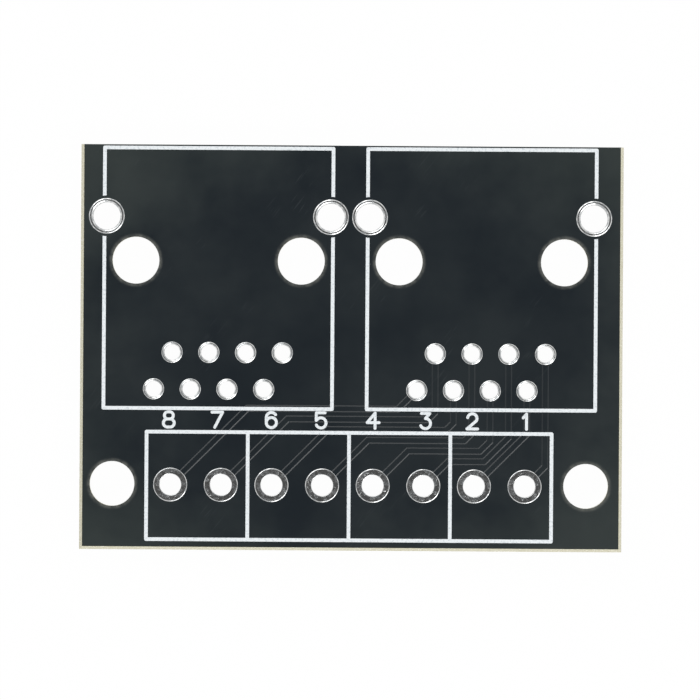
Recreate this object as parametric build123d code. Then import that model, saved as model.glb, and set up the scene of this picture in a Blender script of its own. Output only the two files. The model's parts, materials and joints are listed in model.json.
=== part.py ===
from build123d import *
from math import cos, radians, sin, sqrt, tan
import os

# A bare two-sided circuit board for two modular jacks and a row of eight screw
# terminals. It lies flat, component side up. X runs along the terminal row, +Y
# points to the edge where plugs enter, and the origin is under the middle of
# the board, at the level that its underside rests on. All sizes in millimetres.

# Layers, from the laminate outwards
core_thickness = 1.5
copper_thickness = 0.035
mask_thickness = 0.025
mask_over_track = 0.02
tin_thickness = 0.02
tin_slope = 0.06
barrel_wall = 0.03
mouth_lip = 0.03
ink_thickness = 0.02

# Jack footprint: two jacks side by side, each with two posts, two shield tabs
# and eight pins in two staggered rows
jack_width = 15.8
jack_depth = 18.0
jack_gap = 2.4
jack_end_margin = 1.75
jack_overhang = 0.22
post_setback = 8.0
post_spacing = 11.43
post_hole = 3.25
shield_inset = 0.15
shield_ahead_of_post = 3.05
shield_hole = 1.9
shield_pad = 2.46
pin_pitch = 2.54
pin_row_gap = 2.54
pins_behind_post = 6.35
pin_hole = 1.1
pin_pad = 1.46

# Terminal row and the two mounting holes beside it
terminal_count = 8
terminals_per_block = 2
terminal_pitch = 3.5
terminal_setback = 4.5
terminal_end_margin = 6.5
terminal_shift = -0.1
terminal_hole = 1.5
terminal_pad = 2.34
mount_hole = 3.1
mount_setback = 4.55
mount_end_setback = 2.375

# Tracks: each jack fans out to the terminals, six of its eight along lanes
track_width = 0.4
track_shoulder = 0.07
lane_count = 6
lane_pitch = 0.72
first_lane_drop = 1.3
last_lane_rise = 1.71
lane_approach = 0.5

# Printed legend
ink_to_pad = 0.18
line_width = 0.25
block_behind_terminals = 3.65
block_ahead_of_terminals = 3.78
numeral_height = 1.05
numeral_stroke = 0.2
numeral_gap = 0.03
numeral_shift = {1: 0.04, 2: -0.14, 3: 0.12, 4: 0.0, 5: -0.1, 6: -0.03, 7: -0.27, 8: -0.12}

# Snapped edges: a V is scored into both faces of both ends and the terminal side
score_depth = 0.5
score_angle = 45.0
pattern_shift = -0.12

# The board is as long as the longer of its two rows, and as deep as they need
jack_spacing = jack_width + jack_gap
jack_row = jack_spacing + jack_width + 2 * jack_end_margin
terminal_row = (terminal_count - 1) * terminal_pitch + 2 * terminal_end_margin
board_length = max(jack_row, terminal_row)
lanes_depth = first_lane_drop + (lane_count - 1) * lane_pitch + last_lane_rise
board_width = post_setback + pins_behind_post + pin_row_gap + lanes_depth + terminal_setback

# Heights and widths that follow from the layers
mask_on_track = copper_thickness + mask_over_track
pad_height = copper_thickness + tin_thickness
underside = mask_on_track
topside = underside + core_thickness
score_inset = score_depth * tan(radians(score_angle / 2))
bowl = numeral_height / 3

# Places in plan
plug_edge = board_width / 2
terminal_edge = -board_width / 2
post_y = plug_edge - post_setback
shield_y = post_y + shield_ahead_of_post
upper_pin_y = post_y - pins_behind_post
lower_pin_y = upper_pin_y - pin_row_gap
first_lane_y = lower_pin_y - first_lane_drop
terminal_y = terminal_edge + terminal_setback
mount_y = terminal_edge + mount_setback
jack_front_y = plug_edge - jack_overhang
jack_back_y = jack_front_y - jack_depth
block_back_y = terminal_y + block_behind_terminals
block_front_y = terminal_y - block_ahead_of_terminals
jack_x = {
    "left": pattern_shift - jack_spacing / 2,
    "right": pattern_shift + jack_spacing / 2,
}
sides = {"left": -1, "right": 1}


def terminal_place(number):
    """Terminal 1 is at the right-hand end of the row."""
    steps = (terminal_count + 1) / 2 - number
    return (pattern_shift + terminal_shift + steps * terminal_pitch, terminal_y)


def pin_place(jack, number):
    """Pins run from 8 to 1, left to right, even ones in the lower row."""
    steps = (terminal_count + 1) / 2 - number
    y = lower_pin_y if number % 2 == 0 else upper_pin_y
    return (jack_x[jack] + steps * pin_pitch / 2, y)


def shield_place(jack, side):
    return (jack_x[jack] + sides[side] * (jack_width / 2 - shield_inset), shield_y)


def post_places():
    return [(x + s * post_spacing / 2, post_y) for x in jack_x.values() for s in sides.values()]


def mount_places():
    reach = board_length / 2 - mount_end_setback
    return [(pattern_shift + s * reach, mount_y) for s in sides.values()]


def plated_holes():
    """Name, place, finished hole and pad of each plated hole."""
    holes = []
    for number in range(1, terminal_count + 1):
        place = terminal_place(number)
        holes.append((f"terminal_hole_{number}", place, terminal_hole, terminal_pad))
    for jack in jack_x:
        for number in range(1, terminal_count + 1):
            place = pin_place(jack, number)
            holes.append((f"{jack}_jack_pin_hole_{number}", place, pin_hole, pin_pad))
        for side in sides:
            place = shield_place(jack, side)
            holes.append((f"{jack}_jack_shield_hole_{side}", place, shield_hole, shield_pad))
    return holes


def plain_holes():
    """Place and diameter of each hole without plating."""
    posts = [(place, post_hole) for place in post_places()]
    mounts = [(place, mount_hole) for place in mount_places()]
    return posts + mounts


def peg(place, diameter, height):
    """An upright cylinder round the level z = 0, used to drill or open a layer."""
    return Pos(*place) * Cylinder(diameter / 2, height)


def lane_rank(jack, number):
    """The pin nearest the middle of the board is ranked 0, and takes the first lane."""
    return terminal_count - number if jack == "right" else number - 1


def bend_height(jack, number):
    """Where a track turns from straight down to 45 degrees, clear of its neighbour."""
    rank = lane_rank(jack, number)
    if rank >= lane_count:
        start_x, _ = pin_place(jack, number)
        end_x, end_y = terminal_place(number)
        return end_y + abs(end_x - start_x)
    lane = first_lane_y - rank * lane_pitch
    approach = first_lane_drop if rank == 0 else lane_approach
    neighbour = number - 1 if jack == "right" else number + 1
    passing = bend_height(jack, neighbour) - pin_pitch / 2
    return max(lane + approach, passing + sqrt(2) * lane_pitch)


def track_route(jack, number):
    """Down from the pin, along a lane towards the terminal, then in at 45 degrees."""
    start_x, start_y = pin_place(jack, number)
    end_x, end_y = terminal_place(number)
    heading = -1 if jack == "right" else 1
    rank = lane_rank(jack, number)
    bend_y = bend_height(jack, number)
    route = [(start_x, start_y)]
    if bend_y < start_y:
        route.append((start_x, bend_y))
    if rank < lane_count:
        lane = first_lane_y - rank * lane_pitch
        route.append((start_x + heading * (bend_y - lane), lane))
        route.append((end_x - heading * (lane - end_y), lane))
    route.append((end_x, end_y))
    return route


def along(route, section):
    """The section swept along a route, mitred at its bends."""
    path = Polyline(*[(x, y, 0) for x, y in route])
    start = Plane(origin=path @ 0, x_dir=Vector(0, 0, 1).cross(path % 0), z_dir=path % 0)
    return sweep(start * section, path=path, transition=Transition.RIGHT)


def strip_section():
    """Section of an etched track, standing on the laminate."""
    half = track_width / 2
    outline = [(-half, 0), (half, 0), (half, copper_thickness), (-half, copper_thickness)]
    return make_face(Polyline(*outline, close=True))


def ridge_section(lift=0):
    """Section of the lacquer over a track: flat on top, with sloping shoulders."""
    top = track_width / 2 - track_shoulder / 2
    foot = track_width / 2 + track_shoulder / 2
    outline = [
        (-foot, 0),
        (foot, 0),
        (foot, mask_thickness + lift),
        (top, mask_on_track + lift),
        (-top, mask_on_track + lift),
        (-foot, mask_thickness + lift),
    ]
    return make_face(Polyline(*outline, close=True))


def track(jack, number):
    """One etched track, ending at the rims of its two pads."""
    body = along(track_route(jack, number), strip_section())
    body -= peg(pin_place(jack, number), pin_pad, 1)
    body -= peg(terminal_place(number), terminal_pad, 1)
    return body


def coat(thickness):
    """The flat of a layer, which stops at the scored edges."""
    length = board_length - 2 * score_inset
    width = board_width - score_inset
    return Pos(0, score_inset / 2, thickness / 2) * Box(length, width, thickness)


def lacquer(jack, lift=0):
    """The unopened lacquer over one face's tracks, or the same surface raised by lift."""
    body = coat(mask_thickness + lift)
    for number in range(1, terminal_count + 1):
        body += along(track_route(jack, number), ridge_section(lift))
    return body


def solder_mask(jack):
    """The lacquer on one face: it covers the tracks there, and stops at pads and holes."""
    body = lacquer(jack)
    for number in range(1, terminal_count + 1):
        body -= along(track_route(jack, number), strip_section())
    for _, place, _, pad in plated_holes():
        body -= peg(place, pad, 1)
    for place, hole in plain_holes():
        body -= peg(place, hole, 1)
    return body


def score_wedge(side_length):
    """The prism that one side of a V-score takes off an edge, along X."""
    outline = [(0, 0), (score_inset, 0), (0, -score_depth)]
    section = Plane.YZ * make_face(Polyline(*outline, close=True))
    return extrude(section, amount=side_length / 2, both=True)


def laminate():
    """The glass-epoxy core with its drillings and its scored edges."""
    body = Pos(0, 0, core_thickness / 2) * Box(board_length, board_width, core_thickness)
    upper = Pos(0, 0, core_thickness)
    cuts = [
        upper * Pos(0, terminal_edge) * score_wedge(board_length),
        upper * Pos(-board_length / 2, 0) * Rot(0, 0, -90) * score_wedge(board_width),
        upper * Pos(board_length / 2, 0) * Rot(0, 0, 90) * score_wedge(board_width),
    ]
    middle = Plane((0, 0, core_thickness / 2))
    for cut in cuts:
        body -= cut
        body -= mirror(cut, about=middle)
    for _, place, hole, _ in plated_holes():
        body -= peg(place, hole + 2 * barrel_wall, 4 * core_thickness)
    for place, hole in plain_holes():
        body -= peg(place, hole, 4 * core_thickness)
    return body


def plated_hole(place, hole, pad):
    """A barrel with a pad on each face, its tin thinning towards the rim and the mouth."""
    bore = hole / 2
    rim = pad / 2
    outer = core_thickness / 2
    copper = outer + copper_thickness
    tin = outer + pad_height
    upper = [
        (bore + barrel_wall, outer),
        (rim, outer),
        (rim, copper),
        (rim - tin_slope, tin),
        (bore + tin_slope, tin),
        (bore, tin - mouth_lip),
    ]
    lower = [(r, -z) for r, z in reversed(upper)]
    section = Plane.XZ * make_face(Polyline(*upper, *lower, close=True))
    middle = Pos(*place, underside + outer)
    return middle * revolve(section, axis=Axis.Z)


def stroke(points, width):
    """A pen stroke through the points, round at its ends and bends."""
    shape = Sketch()
    for start, end in zip(points, points[1:]):
        run = Vector(*end) - Vector(*start)
        middle = (Vector(*end) + Vector(*start)) / 2
        turn = Vector(1, 0, 0).get_signed_angle(run, Vector(0, 0, 1))
        shape += Pos(middle.X, middle.Y) * Rot(0, 0, turn) * SlotCenterToCenter(run.length, width)
    return shape


def pen(*points):
    """A pen stroke of a numeral, through points given in bowl radii."""
    return stroke([(bowl * x, bowl * y) for x, y in points], numeral_stroke)


def curl(centre_y, radius, start, span):
    """A curved pen stroke of a numeral, in bowl radii and degrees."""
    return SlotArc(CenterArc((0, bowl * centre_y), bowl * radius, start, span), numeral_stroke)


def loop(centre_y, width, height):
    """A closed rounded loop of a numeral, in bowl radii to the middle of its line."""
    outer = SlotOverall(bowl * width + numeral_stroke, bowl * height + numeral_stroke)
    inner = SlotOverall(bowl * width - numeral_stroke, bowl * height - numeral_stroke)
    return Pos(0, bowl * centre_y) * (outer - inner)


# Each numeral is three bowl radii high, from -1.5 to 1.5, and its lower bowl is
# a circle of radius 1 round (0, -0.5). The strokes below are in these units.
def one():
    return pen((-0.45, 0.75), (0.2, 1.5), (0.2, -1.5))


def two():
    radius = 0.93
    arch_y = 1.5 - radius
    knee = (radius * cos(radians(-30)), arch_y + radius * sin(radians(-30)))
    return curl(arch_y, radius, 170, -200) + pen(knee, (-1.05, -1.5), (1.05, -1.5))


def three():
    return pen((-0.8, 1.5), (0.85, 1.5), (0, 0.5)) + curl(-0.5, 1, 90, -245)


def four():
    return pen((0.4, -1.5), (0.4, 1.5), (-1.15, -0.375), (1.2, -0.375))


def five():
    neck = (cos(radians(140)), sin(radians(140)) - 0.5)
    return pen((0.8, 1.5), (-0.9, 1.5), (-0.95, 0), neck) + curl(-0.5, 1, 140, -295)


def six():
    ring = Circle(bowl + numeral_stroke / 2) - Circle(bowl - numeral_stroke / 2)
    return Pos(0, -bowl / 2) * ring + pen((-1, -0.5), (-1, 0.5)) + curl(0.5, 1, 180, -145)


def seven():
    return pen((-1.05, 1.5), (1.05, 1.5), (-0.5, -1.5))


def eight():
    return loop(0.795, 1.75, 1.41) + loop(-0.705, 2.15, 1.59)


def numeral_sketch(number):
    """A terminal's numeral, in line under the jacks' outlines."""
    x, _ = terminal_place(number)
    y = jack_back_y - line_width / 2 - numeral_gap - numeral_stroke / 2 - numeral_height / 2
    draw = (one, two, three, four, five, six, seven, eight)[number - 1]
    return Pos(x + numeral_shift[number], y) * draw()


def jack_outline(jack, part):
    """Half of a jack's outline, broken clear of the two shield pads."""
    half = jack_width / 2
    end_y = jack_front_y if part == "front" else jack_back_y
    left = jack_x[jack] - half
    right = jack_x[jack] + half
    shape = stroke([(left, shield_y), (left, end_y), (right, end_y), (right, shield_y)], line_width)
    for side in sides:
        shape -= Pos(*shield_place(jack, side)) * Circle(shield_pad / 2 + ink_to_pad)
    return shape


def terminal_outline():
    """One outline round all the terminal blocks, with a line between each two."""
    block = terminals_per_block * terminal_pitch
    blocks = terminal_count // terminals_per_block
    left = pattern_shift - blocks * block / 2
    right = left + blocks * block
    corners = [
        (left, block_back_y),
        (right, block_back_y),
        (right, block_front_y),
        (left, block_front_y),
    ]
    shape = stroke(corners + corners[:1], line_width)
    for step in range(1, blocks):
        x = left + step * block
        shape += stroke([(x, block_back_y), (x, block_front_y)], line_width)
    return shape


def ink(shape, under, over):
    """Ink of even thickness between two surfaces, so it follows the lacquer over the tracks."""
    return (extrude(shape, amount=1) & over) - under


def on_top(shape):
    return Pos(0, 0, topside) * shape


def on_bottom(shape):
    return Pos(0, 0, underside) * mirror(shape, about=Plane.XY)


def save(name, shape):
    """Write one piece, which has to be one solid."""
    solids = shape.solids()
    if len(solids) != 1:
        raise ValueError(f"{name} has {len(solids)} solids")
    export_step(solids[0], f"parts/{name}.step")
    print(f"{name}: {solids[0].volume:.5f} mm3")


def main():
    os.makedirs("parts", exist_ok=True)
    save("board_laminate", Pos(0, 0, underside) * laminate())
    save("top_solder_mask", on_top(solder_mask("right")))
    save("bottom_solder_mask", on_bottom(solder_mask("left")))
    for number in range(1, terminal_count + 1):
        save(f"right_jack_track_{number}", on_top(track("right", number)))
        save(f"left_jack_track_{number}", on_bottom(track("left", number)))
    for name, place, hole, pad in plated_holes():
        save(name, plated_hole(place, hole, pad))
    under = lacquer("right")
    over = lacquer("right", lift=ink_thickness)
    prints = {"terminal_outline": terminal_outline()}
    for jack in jack_x:
        for part in ("front", "back"):
            prints[f"{jack}_jack_outline_{part}"] = jack_outline(jack, part)
    for number in range(1, terminal_count + 1):
        prints[f"numeral_{number}"] = numeral_sketch(number)
    for name, shape in prints.items():
        save(name, on_top(ink(shape, under, over)))


main()
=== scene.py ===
# %% [markdown]
# # A bare circuit board, seen from straight above
#
# The board is a thin sandwich: a core of glass and epoxy, copper tracks, a black
# lacquer over them, tinned holes, and white printing. Its shapes and sizes are
# already made in CAD, so this lesson loads them, measures them, and gives each
# layer the finish that its real making leaves on it. Only the tinned holes are
# modelled again here, because molten tin has soft, rounded edges that a drawing
# of plain cylinders doesn't show.

# %% Load the CAD model
import json
import math
import bmesh
import bpy
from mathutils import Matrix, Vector


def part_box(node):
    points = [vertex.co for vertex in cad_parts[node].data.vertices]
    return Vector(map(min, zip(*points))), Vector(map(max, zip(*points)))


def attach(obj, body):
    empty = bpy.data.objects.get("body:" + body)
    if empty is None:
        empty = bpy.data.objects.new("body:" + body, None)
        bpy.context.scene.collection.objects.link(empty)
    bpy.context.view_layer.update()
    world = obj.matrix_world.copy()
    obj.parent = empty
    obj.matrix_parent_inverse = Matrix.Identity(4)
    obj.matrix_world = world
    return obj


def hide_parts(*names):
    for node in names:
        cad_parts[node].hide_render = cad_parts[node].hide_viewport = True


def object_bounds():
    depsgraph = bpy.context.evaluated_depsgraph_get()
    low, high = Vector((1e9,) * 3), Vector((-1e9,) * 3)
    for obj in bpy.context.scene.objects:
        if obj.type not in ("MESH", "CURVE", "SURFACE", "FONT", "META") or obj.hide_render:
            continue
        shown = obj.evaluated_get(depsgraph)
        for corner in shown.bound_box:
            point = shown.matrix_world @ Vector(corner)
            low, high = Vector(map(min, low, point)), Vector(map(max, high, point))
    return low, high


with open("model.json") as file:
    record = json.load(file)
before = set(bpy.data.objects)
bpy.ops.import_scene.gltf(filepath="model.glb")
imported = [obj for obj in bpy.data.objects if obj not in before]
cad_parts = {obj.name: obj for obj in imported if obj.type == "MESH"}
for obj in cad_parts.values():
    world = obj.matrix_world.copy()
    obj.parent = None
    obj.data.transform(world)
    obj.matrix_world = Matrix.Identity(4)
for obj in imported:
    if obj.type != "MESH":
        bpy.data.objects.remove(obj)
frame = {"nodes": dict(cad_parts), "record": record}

nodes = frame["nodes"]
mounts = {mount["name"]: mount for mount in frame["record"]["mounts"]}
cad_low, cad_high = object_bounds()
print(len(nodes), "CAD pieces,", [round(1000 * side, 2) for side in cad_high - cad_low], "mm")

# %% [markdown]
# Blender works in metres and the board is drawn in millimetres, so one value
# turns one into the other. The CAD pieces have plain names, which makes it easy
# to pick them out by layer.

# %% Units and layers
mm = 0.001
tracks = [name for name in nodes if "_track_" in name]
lacquers = [name for name in nodes if name.endswith("solder_mask")]
tinned = sorted(name for name in nodes if "_hole_" in name)
legend = [name for name in nodes if "outline" in name or "numeral" in name]
print(len(tracks), "tracks,", len(tinned), "tinned holes,", len(legend), "printed marks")

# %% [markdown]
# A finish is a small network of nodes. Colours are easiest to choose as the hex
# values of a paint program, but shaders add and multiply light, so one function
# turns such a value into linear light. Another adds a node, sets its options and
# sockets, and joins it to the nodes before it. Every finish below is made with
# these two, so each network reads from top to bottom like a recipe.

# %% Helpers for finishes
def linear(hex_colour):
    """An sRGB hex colour as linear light."""
    steps = [int(hex_colour[i:i + 2], 16) / 255 for i in (1, 3, 5)]
    light = [s / 12.92 if s <= 0.04045 else ((s + 0.055) / 1.055) ** 2.4 for s in steps]
    return (*light, 1.0)


def add(tree, kind, options=None, values=None, links=None):
    """Adds a node, with its options, its sockets' values and the outputs that feed it."""
    node = tree.nodes.new("ShaderNode" + kind)
    for name, option in (options or {}).items():
        setattr(node, name, option)
    for socket, value in (values or {}).items():
        node.inputs[socket].default_value = value
    for socket, output in (links or {}).items():
        tree.links.new(output, node.inputs[socket])
    return node


def start_finish(name, values):
    """A new material, its node tree, its shader with these values, and object coordinates."""
    material = bpy.data.materials.new(name)
    material.use_nodes = True
    tree = material.node_tree
    shader = tree.nodes["Principled BSDF"]
    for socket, value in values.items():
        shader.inputs[socket].default_value = value
    place = add(tree, "TexCoord").outputs["Object"]
    return material, tree, shader, place


def per_mm(size):
    """The texture scale that makes a pattern's cells this many millimetres wide."""
    return 1 / (size * mm)


def dress(names, material):
    """Gives CAD pieces a material."""
    for name in names:
        slots = nodes[name].data.materials
        slots.clear()
        slots.append(material)
    print(material.name, "on", len(names), "pieces")


# %% [markdown]
# ## The lacquer
#
# The black coat is solder mask: a liquid epoxy flooded over the panel, exposed
# through a film and baked. The eye gets a deep, slightly blue black with a soft
# shine. It could be one flat colour, but a real film is never quite even, and a
# flat one makes the board look like a cut-out. So the colour is built up in
# steps: broad clouds, a greyer border that is painted reflection, pale haze at
# the drilled edges, and a few hairline scratches.

# %% Uneven film
lacquer, tree, shader, place = start_finish("baked_epoxy_solder_mask", {"IOR": 1.5})
cloud_size = 6.0
clouds = add(tree, "TexNoise",
             values={"Scale": per_mm(cloud_size), "Detail": 4.0, "Roughness": 0.6},
             links={"Vector": place})
cloud_share = add(tree, "MapRange", values={"From Min": 0.35, "From Max": 0.65},
                  links={"Value": clouds.outputs["Fac"]})
film = add(tree, "Mix", {"data_type": "RGBA"}, {6: linear("#141c22"), 7: linear("#1a2226")},
           {0: cloud_share.outputs["Result"]})
print("clouds of about", cloud_size, "mm")

# %% [markdown]
# The film is painted a little greyer towards the board's edges. This is a
# painted reflection, standing in for the pale sheen the lacquer shows there. The
# share of grey comes from how far a point lies from the middle, measured in
# half-lengths and half-widths, with a cloudy noise added so that no clean oval
# shows.

# %% Painted reflection at the border
half_length, half_width = cad_high.x, cad_high.y
flat_place = add(tree, "VectorMath", {"operation": "MULTIPLY"},
                 {1: (1 / half_length, 1 / half_width, 0)}, {0: place})
reach = add(tree, "VectorMath", {"operation": "LENGTH"}, links={0: flat_place.outputs["Vector"]})
ragged = add(tree, "Math", {"operation": "MULTIPLY_ADD"}, {1: 0.5},
             {0: clouds.outputs["Fac"], 2: reach.outputs["Value"]})
painted_reflection_share = add(tree, "MapRange", {"interpolation_type": "SMOOTHSTEP"},
                   {"From Min": 1.0, "From Max": 1.75, "To Max": 1.0}, {"Value": ragged.outputs[0]})
# The grey mixed in here is a painted reflection, the pale sheen near the edges, not a change in the
# film itself.
with_painted_reflection = add(tree, "Mix", {"data_type": "RGBA"}, {7: linear("#313837")},
               {0: painted_reflection_share.outputs["Result"], 6: film.outputs[2]})
print("border measured in half-sides of", round(half_length / mm, 2), "and",
      round(half_width / mm, 2), "mm")

# %% [markdown]
# A drill bit lifts and crushes the lacquer round a plain hole, which leaves a
# dull, pale haze a few tenths of a millimetre wide. The CAD record says where
# those holes are. For each, the distance to its rim is worked out, and the
# smallest of them all sets the haze. The tinned holes need none: their lacquer
# is opened by light, not by a drill.

# %% Haze at the drilled holes
haze_width, crumb_size = 0.3, 0.35
on_plan = add(tree, "VectorMath", {"operation": "MULTIPLY"}, {1: (1, 1, 0)}, {0: place})
nearest = None
for mount in ("left_jack_posts", "right_jack_posts", "mounting_holes"):
    x, y, _ = mounts[mount]["pos_m"]
    sizes = mounts[mount]["dims"]
    for side in (-0.5, 0.5):
        centre = (x + side * sizes["spacing_x_mm"] * mm, y, 0)
        away = add(tree, "VectorMath", {"operation": "DISTANCE"}, {1: centre},
                   {0: on_plan.outputs["Vector"]})
        rim = add(tree, "Math", {"operation": "SUBTRACT"}, {1: sizes["hole_r_mm"] * mm},
                  {0: away.outputs["Value"]})
        if nearest is not None:
            rim = add(tree, "Math", {"operation": "MINIMUM"},
                      links={0: rim.outputs[0], 1: nearest.outputs[0]})
        nearest = rim
near_rim = add(tree, "MapRange", {"interpolation_type": "SMOOTHSTEP"},
               {"From Min": 0.0, "From Max": haze_width * mm, "To Min": 1.0, "To Max": 0.0},
               {"Value": nearest.outputs[0]})
crumbs = add(tree, "TexNoise", values={"Scale": per_mm(crumb_size), "Detail": 3.0},
             links={"Vector": place})
crushed = add(tree, "MapRange", values={"From Min": 0.35, "From Max": 0.65, "To Min": 0.3},
              links={"Value": crumbs.outputs["Fac"]})
haze_share = add(tree, "Math", {"operation": "MULTIPLY"},
                 links={0: near_rim.outputs["Result"], 1: crushed.outputs["Result"]})
hazed = add(tree, "Mix", {"data_type": "RGBA"}, {7: linear("#5b5d58")},
            {0: haze_share.outputs[0], 6: with_painted_reflection.outputs[2]})
print("haze", haze_width, "mm wide round the plain holes")

# %% [markdown]
# Boards are stacked bare, so a few fine hairs show where corners slid over the
# film. A hair is a noise squeezed to under a tenth of a millimetre across and
# stretched along, cut off so that only its peaks remain. It is turned first and
# squeezed afterwards, so that all hairs slant the same way. A second, broad noise
# lets it show in patches only. The real hairs are finer still, but this is the
# thinnest line that reads at arm's length.

# %% Hairline scratches
hair_width, hair_length, hair_slant, patch_size = 0.08, 1.6, 38, 4
turned = add(tree, "Mapping", values={"Rotation": (0, 0, math.radians(hair_slant))},
             links={"Vector": place})
combed = add(tree, "Mapping", values={"Scale": (per_mm(hair_width), per_mm(hair_length), 1.0)},
             links={"Vector": turned.outputs["Vector"]})
strands = add(tree, "TexNoise", {"noise_dimensions": "2D"}, {"Scale": 1.0, "Detail": 0.0},
              {"Vector": combed.outputs["Vector"]})
hairs = add(tree, "MapRange", values={"From Min": 0.74, "From Max": 0.82},
            links={"Value": strands.outputs["Fac"]})
patches = add(tree, "TexNoise", values={"Scale": per_mm(patch_size), "Detail": 2.0},
              links={"Vector": place})
patch_share = add(tree, "MapRange", values={"From Min": 0.6, "From Max": 0.7, "To Max": 0.13},
                  links={"Value": patches.outputs["Fac"]})
hair_share = add(tree, "Math", {"operation": "MULTIPLY"},
                 links={0: hairs.outputs["Result"], 1: patch_share.outputs["Result"]})
scratched = add(tree, "Mix", {"data_type": "RGBA"}, {7: linear("#565d60")},
                {0: hair_share.outputs[0], 6: hazed.outputs[2]})
tree.links.new(scratched.outputs[2], shader.inputs["Base Color"])
print("hairs", hair_width, "x", hair_length, "mm, in patches of about", patch_size, "mm")

# %% [markdown]
# The shine matters as much as the colour, because the tracks under the film
# are seen only as pairs of faint bright lines, where the film's sloping
# shoulders catch the lamps. Medium clouds vary the roughness a little, haze and
# hairs are duller, and a very low orange-peel bump keeps reflections soft.

# %% Shine and orange peel
peel_size, dulling = 0.6, 0.4
peel = add(tree, "TexNoise", values={"Scale": per_mm(peel_size), "Detail": 2.0},
           links={"Vector": place})
shine = add(tree, "MapRange",
            values={"From Min": 0.35, "From Max": 0.65, "To Min": 0.31, "To Max": 0.38},
            links={"Value": clouds.outputs["Fac"]})
damage = add(tree, "Math", {"operation": "MAXIMUM"},
             links={0: haze_share.outputs[0], 1: hair_share.outputs[0]})
dull = add(tree, "Math", {"operation": "MULTIPLY_ADD"}, {1: dulling},
           {0: damage.outputs[0], 2: shine.outputs["Result"]})
tree.links.new(dull.outputs[0], shader.inputs["Roughness"])
skin = add(tree, "Bump", values={"Strength": 0.5, "Distance": 0.004 * mm},
           links={"Height": peel.outputs["Fac"]})
tree.links.new(skin.outputs["Normal"], shader.inputs["Normal"])
dress(lacquers, lacquer)

# %% [markdown]
# ## The core
#
# The core is glass cloth pressed in epoxy. Its two faces are covered, so what
# the eye meets is where it was cut: the scored slopes along three edges, the
# torn web between them, the sawn plug edge and the walls of the holes. Cut
# laminate is pale and dry, with the plies of cloth as fine stripes and broken
# glass ends as white flecks. Stripes that follow height give the plies, and a
# fine noise gives the flecks and a rough, unpolished surface.

# %% Cut glass and epoxy
ply, fleck_size = 0.19, 0.09
core, tree, shader, place = start_finish("cut_glass_epoxy_laminate",
                                         {"IOR": 1.55, "Roughness": 0.75})
plies = add(tree, "TexWave", {"wave_type": "BANDS", "bands_direction": "Z"},
            {"Scale": math.tau / 20 * per_mm(ply), "Distortion": 1.6, "Detail": 2.0,
             "Detail Scale": 0.7}, {"Vector": place})
cloth = add(tree, "Mix", {"data_type": "RGBA"}, {6: linear("#bfb998"), 7: linear("#dedbc8")},
            {0: plies.outputs["Fac"]})
flecks = add(tree, "TexNoise", values={"Scale": per_mm(fleck_size), "Detail": 3.0},
             links={"Vector": place})
fleck_share = add(tree, "MapRange", values={"From Min": 0.5, "From Max": 0.68, "To Max": 0.8},
                  links={"Value": flecks.outputs["Fac"]})
cut = add(tree, "Mix", {"data_type": "RGBA"}, {7: linear("#f0eee4")},
          {0: fleck_share.outputs["Result"], 6: cloth.outputs[2]})
tree.links.new(cut.outputs[2], shader.inputs["Base Color"])
torn = add(tree, "Bump", values={"Strength": 0.8, "Distance": 0.02 * mm},
           links={"Height": flecks.outputs["Fac"]})
tree.links.new(torn.outputs["Normal"], shader.inputs["Normal"])
dress(["board_laminate"], core)
print("plies", ply, "mm thick")

# %% [markdown]
# ## The tracks
#
# The tracks are copper foil with everything else etched away. The lacquer hides
# them, and only their raised shape shows through it. They still get their own
# finish, a soft salmon metal with a fine etched grain, so that a user who takes
# the lacquer off the model finds copper there.

# %% Etched copper
grain = 0.25
copper, tree, shader, place = start_finish("etched_copper_foil", {"Metallic": 1.0})
etch = add(tree, "TexNoise", values={"Scale": per_mm(grain), "Detail": 3.0},
           links={"Vector": place})
tone = add(tree, "Mix", {"data_type": "RGBA"}, {6: linear("#c07f5c"), 7: linear("#dd9f7b")},
           {0: etch.outputs["Fac"]})
tree.links.new(tone.outputs[2], shader.inputs["Base Color"])
etched = add(tree, "MapRange", values={"To Min": 0.3, "To Max": 0.5},
             links={"Value": etch.outputs["Fac"]})
tree.links.new(etched.outputs["Result"], shader.inputs["Roughness"])
dress(tracks, copper)

# %% [markdown]
# ## The printing
#
# The white outlines and numerals are a baked ink, pressed through a fine mesh.
# The eye gets a matte, slightly cool white that covers the black well but not
# perfectly: where the mesh let less through, it is a touch greyer. The mesh is
# about a sixth of a millimetre, so that is the size of the noise that thins
# the colour and lifts the surface.

# %% Screen-printed ink
mesh_size = 0.16
ink, tree, shader, place = start_finish("screen_printed_epoxy_ink", {"IOR": 1.5, "Roughness": 0.6})
dots = add(tree, "TexNoise", values={"Scale": per_mm(mesh_size), "Detail": 2.0},
           links={"Vector": place})
cover = add(tree, "MapRange", values={"From Min": 0.32, "From Max": 0.5},
            links={"Value": dots.outputs["Fac"]})
white = add(tree, "Mix", {"data_type": "RGBA"}, {6: linear("#d3dade"), 7: linear("#edf2f5")},
            {0: cover.outputs["Result"]})
tree.links.new(white.outputs[2], shader.inputs["Base Color"])
lumps = add(tree, "Bump", values={"Strength": 0.4, "Distance": 0.006 * mm},
            links={"Height": dots.outputs["Fac"]})
tree.links.new(lumps.outputs["Normal"], shader.inputs["Normal"])
dress(legend, ink)

# %% [markdown]
# ## The tin
#
# Bare copper would tarnish, so the board is dipped in molten tin and blown clean
# with hot air. That leaves a bright skin that is smooth where it is curved and
# crinkled where it is flat and thin. The metal keeps its default IOR: a metal's
# colour is its reflection. Two noises make the crinkle, one for the lumps that
# the air pushed together and one for the crystals. Both fade out where the metal
# slopes, because the rolled edges set smooth. Patches of dull oxide break up the
# shine.

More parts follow.
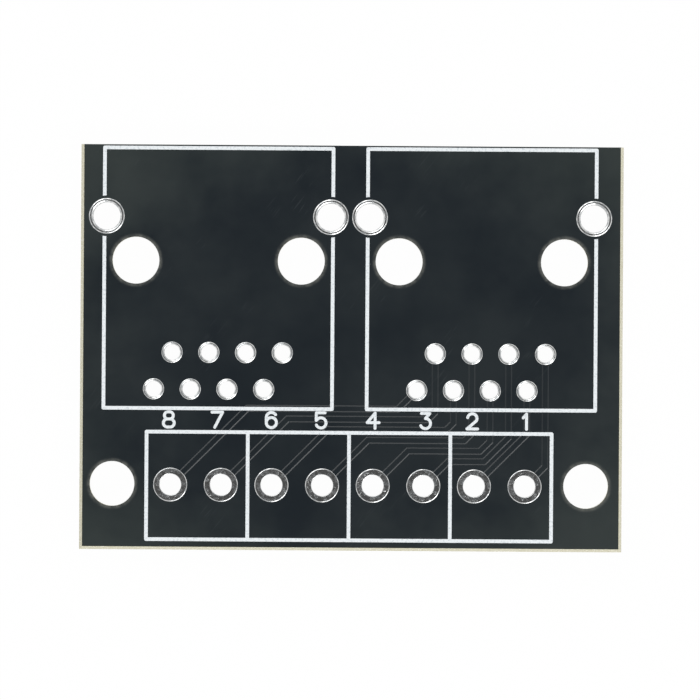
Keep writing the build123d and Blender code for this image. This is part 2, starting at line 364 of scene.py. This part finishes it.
# %% Hot-air levelled tin
lump_size, crystal_size = 0.28, 0.13
tin, tree, shader, place = start_finish("hot_air_levelled_tin", {"Metallic": 1.0})
lump = add(tree, "TexNoise", values={"Scale": per_mm(lump_size), "Detail": 1.0},
           links={"Vector": place})
crystal = add(tree, "TexNoise", values={"Scale": per_mm(crystal_size), "Detail": 2.0},
              links={"Vector": place})
oxide = add(tree, "MapRange", values={"From Min": 0.4, "From Max": 0.6},
            links={"Value": lump.outputs["Fac"]})
metal = add(tree, "Mix", {"data_type": "RGBA"}, {6: linear("#f0f1f0"), 7: linear("#bfc2c3")},
            {0: oxide.outputs["Result"]})
tree.links.new(metal.outputs[2], shader.inputs["Base Color"])
dulled = add(tree, "MapRange", values={"To Min": 0.12, "To Max": 0.3},
             links={"Value": oxide.outputs["Result"]})
tree.links.new(dulled.outputs["Result"], shader.inputs["Roughness"])
print("lumps", lump_size, "mm, crystals", crystal_size, "mm")

# %% [markdown]
# How flat the metal lies is read from its normal: the height of the normal is 1
# on a level face and less on a slope. It sets how strong both noises are.

# %% Crinkle on the flats
sloped, level = 0.985, 0.999
facing = add(tree, "NewGeometry").outputs["Normal"]
lean = add(tree, "SeparateXYZ", links={0: facing})
upright = add(tree, "Math", {"operation": "ABSOLUTE"}, links={0: lean.outputs["Z"]})
flat_share = add(tree, "MapRange", values={"From Min": sloped, "From Max": level, "To Min": 0.08},
                 links={"Value": upright.outputs[0]})
low_lumps = add(tree, "Bump", values={"Distance": 0.045 * mm},
                links={"Height": lump.outputs["Fac"], "Strength": flat_share.outputs["Result"]})
crinkle = add(tree, "Bump", values={"Distance": 0.024 * mm},
              links={"Height": crystal.outputs["Fac"], "Strength": flat_share.outputs["Result"],
                     "Normal": low_lumps.outputs["Normal"]})
tree.links.new(crinkle.outputs["Normal"], shader.inputs["Normal"])
print("the crinkle fades out from", round(math.degrees(math.acos(level)), 1), "to",
      round(math.degrees(math.acos(sloped)), 1), "degrees of slope")

# %% [markdown]
# ## The tinned holes
#
# Each plated hole is a thin copper tube with a ring of pad on both faces, all
# under tin. Surface tension rounds the tin: it rolls down to the lacquer at the
# rim and into the mouth of the hole, and lies nearly flat between. Those rolls
# are what flashes white under the lamps, while the flat reflects the dark above.
# The shape is the same all the way round, so it is drawn once as a section and
# spun. A pad for a screw terminal is wide and mostly flat; the rings for pins
# and shield tabs are so narrow that their two rolls nearly meet. The crown of the
# tin stands a little above the plain pad of the CAD model. The underside doesn't,
# because the board rests on it.

# %% The section of a tinned hole
rim_slope, mouth_slope, roll_steps = 40.0, 42.0, 6
dome, barrel_wall = 0.012, 0.03
core_low, core_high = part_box("board_laminate")
core_top = core_high.z / mm
core_middle = core_top - (core_high.z - core_low.z) / mm / 2
rolls = {"terminal": (0.075, 0.03), "pin": (0.08, 0.11), "shield": (0.1, 0.16)}


def roll(edge, flat, crown, slope):
    """Points from an edge up to the flat: a curve that is steepest at the edge."""
    drop = abs(flat - edge) * math.tan(math.radians(slope)) / 2
    shares = [step / roll_steps for step in range(roll_steps + 1)]
    return [(edge + s * (flat - edge), crown - drop * (1 - s) ** 2) for s in shares]


def tin_section(bore, rim, crown, rim_roll, mouth_roll):
    """The section of a barrel and its two pads, as a closed outline in millimetres."""
    outer = roll(rim, rim - rim_roll, crown, rim_slope)
    inner = roll(bore, bore + mouth_roll, crown, mouth_slope)
    upper = [(bore + barrel_wall, core_top), (rim, core_top)] + outer + inner[::-1]
    lower = [(radius, max(0, 2 * core_middle - height)) for radius, height in reversed(upper)]
    return upper + lower


print("core's middle at", round(core_middle, 3), "mm; rolls in mm, rim and mouth:", rolls)

# %% [markdown]
# The spin starts from a few vertices joined in a ring, standing in the plane of
# the hole's axis, and sweeps them through a full turn. Merging its last step
# with its first closes the seam, and the normals are recalculated because a
# spin can leave a shape inside out. The faces are smooth, apart from the corners
# under the lacquer, which stay sharp.

# %% Spin one tinned hole
turn_steps = 80


def bore_of(name):
    """A hole's kind, and its radius in millimetres as the CAD record states it."""
    if name.startswith("terminal"):
        return "terminal", mounts["terminal_pins_1_and_2"]["dims"]["hole_r_mm"]
    if "shield" in name:
        return "shield", mounts["left_jack_shield_tabs"]["dims"]["hole_r_mm"]
    return "pin", mounts["left_jack_pins_1_and_7"]["dims"]["hole_r_mm"]


def spin_hole(name):
    """A tinned hole in the place of its CAD piece."""
    low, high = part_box(name)
    centre = (low + high) / 2
    kind, bore = bore_of(name)
    rim = (high.x - low.x) / mm / 2
    shape = bmesh.new()
    corners = [shape.verts.new((centre.x + radius * mm, centre.y, height * mm))
               for radius, height in tin_section(bore, rim, high.z / mm + dome, *rolls[kind])]
    edges = [shape.edges.new(pair) for pair in zip(corners, corners[1:] + corners[:1])]
    bmesh.ops.spin(shape, geom=corners + edges, cent=centre, axis=(0, 0, 1), angle=math.tau,
                   steps=turn_steps, use_merge=True)
    bmesh.ops.remove_doubles(shape, verts=shape.verts, dist=0.0001 * mm)
    bmesh.ops.recalc_face_normals(shape, faces=shape.faces)
    for face in shape.faces:
        face.smooth = True
    return shape


print(turn_steps, "steps a turn")


# %% [markdown]
# Each spun shape becomes a piece that stands for its CAD node. The CAD node
# isn't shown any more, but it still carries the collision and the exact size.

# %% Put the tinned holes in place
sharp_angle = 50


def show(shape, name, stands_for, material):
    """Turns a finished shape into a piece that replaces a CAD node."""
    data = bpy.data.meshes.new(name)
    shape.to_mesh(data)
    shape.free()
    data.set_sharp_from_angle(angle=math.radians(sharp_angle))
    data.materials.append(material)
    piece = bpy.data.objects.new(name, data)
    bpy.context.scene.collection.objects.link(piece)
    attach(piece, "root")
    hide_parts(stands_for)
    return piece


pieces = [show(spin_hole(name), "tinned_" + name, name, tin) for name in tinned]
faces = sum(len(piece.data.polygons) for piece in pieces)
print(len(pieces), "tinned holes,", faces, "faces")

# %% [markdown]
# ## The camera
#
# The board is looked at from straight above with a long lens, so that the walls
# of its holes stay hidden and its edges stay parallel. The lens follows from the
# width that the view should take in at that distance. The board lay very
# slightly turned, so the camera is turned instead and the board stays square.

# %% Camera
camera_height, camera_turn = 1.2, 0.368
view_width = 48.39 * mm
look_at = Vector((-0.096 * mm, -0.122 * mm, cad_high.z))
lens = bpy.data.cameras.new("camera")
lens.lens = lens.sensor_width * camera_height / view_width
lens.clip_end = 20
camera = bpy.data.objects.new("camera", lens)
camera.location = look_at + Vector((0, 0, camera_height))
camera.rotation_euler = (0, 0, math.radians(camera_turn))
bpy.context.scene.collection.objects.link(camera)
bpy.context.scene.camera = camera
print("lens", round(lens.lens), "mm")

# %% [markdown]
# ## The table
#
# The board lies on a white table. A lit white surface comes out a little under
# full white and greyer still inside deep holes. To the camera, nearly all of the
# table's light is therefore a plain glow of strength 1. The rest is real, so that
# the board still has its faint shadow. The table lies a hair below the board, so
# that the two faces don't flicker where they meet.

# %% White table
glow_share, table_reach, table_gap = 0.98, 3, 0.02 * mm
shape = bmesh.new()
bmesh.ops.create_grid(shape, x_segments=1, y_segments=1, size=table_reach)
bmesh.ops.translate(shape, verts=shape.verts, vec=(0, 0, -table_gap))
data = bpy.data.meshes.new("table")
shape.to_mesh(data)
shape.free()
table = bpy.data.objects.new("table", data)
bpy.context.scene.collection.objects.link(table)
paper, tree, shader, _ = start_finish("white_table_paper",
                                      {"Base Color": linear("#f4f4f4"), "Roughness": 0.9})
rays = add(tree, "LightPath")
glow = add(tree, "Emission", values={"Strength": 1.0})
seen = add(tree, "Math", {"operation": "MULTIPLY"}, {1: glow_share},
           {0: rays.outputs["Is Camera Ray"]})
both = add(tree, "MixShader", links={0: seen.outputs[0], 1: shader.outputs[0], 2: glow.outputs[0]})
tree.links.new(both.outputs[0], tree.nodes["Material Output"].inputs["Surface"])
data.materials.append(paper)
print(paper.name, "on a table", 2 * table_reach, "m wide")

# %% [markdown]
# ## The lamps
#
# Two large soft boxes face each other across the board, half-way up. The one at
# the lower right is the stronger. They light the flat colours evenly, flash on
# the rolled tin, and pick out the shoulders of the slanting tracks, while the
# tracks that run up and down the board, along the line of the lamps' sides,
# stay faint. A lamp's power is worked out from how bright its face should look,
# because that is what a reflection shows.

# %% Soft boxes
box_width, box_height, box_distance, box_lift = 0.4, 0.26, 0.5, math.radians(45)


def soft_box(name, azimuth, brightness):
    """A rectangle of even light that faces the board."""
    lamp = bpy.data.lights.new(name, "AREA")
    lamp.shape = "RECTANGLE"
    lamp.size, lamp.size_y = box_width, box_height
    lamp.energy = brightness * math.pi * box_width * box_height
    box = bpy.data.objects.new(name, lamp)
    turn = math.radians(azimuth)
    away = Vector((math.cos(turn) * math.cos(box_lift), math.sin(turn) * math.cos(box_lift),
                   math.sin(box_lift)))
    box.location = away * box_distance
    box.rotation_euler = away.to_track_quat("Z", "Y").to_euler()
    bpy.context.scene.collection.objects.link(box)
    print(name, round(lamp.energy, 3), "W")


soft_box("key_lamp", -57, 3.2)
soft_box("far_lamp", 118, 2.0)

# %% [markdown]
# The room fills in the rest. It is pale all round and dark overhead, where the
# camera hangs, which is why flat tin looks grey from above and its rolled edges
# look white. Seen directly, the room is plain white.

# %% Room
world = bpy.data.worlds.new("room")
bpy.context.scene.world = world
world.use_nodes = True
tree = world.node_tree
room = tree.nodes["Background"]
room.inputs["Color"].default_value = (1, 1, 1, 1)
direction = add(tree, "TexCoord").outputs["Generated"]
height = add(tree, "SeparateXYZ", links={0: direction}).outputs["Z"]
fade = add(tree, "MapRange", {"interpolation_type": "SMOOTHSTEP"},
           {"From Min": 0.7, "From Max": 0.97, "To Min": 0.8, "To Max": 0.07}, {"Value": height})
tree.links.new(fade.outputs["Result"], room.inputs["Strength"])
backdrop = add(tree, "Background", values={"Color": (1, 1, 1, 1), "Strength": 1.0})
rays = add(tree, "LightPath")
both = add(tree, "MixShader", links={0: rays.outputs["Is Camera Ray"], 1: room.outputs[0],
                                     2: backdrop.outputs[0]})
tree.links.new(both.outputs[0], tree.nodes["World Output"].inputs["Surface"])
print("room from", round(fade.inputs["To Min"].default_value, 2), "at the sides to",
      round(fade.inputs["To Max"].default_value, 2), "overhead")

# %% [markdown]
# ## Finish
#
# The finished model has to keep the size of the CAD model.

# %% Plain colour view
bpy.context.scene.view_settings.view_transform = "Standard"
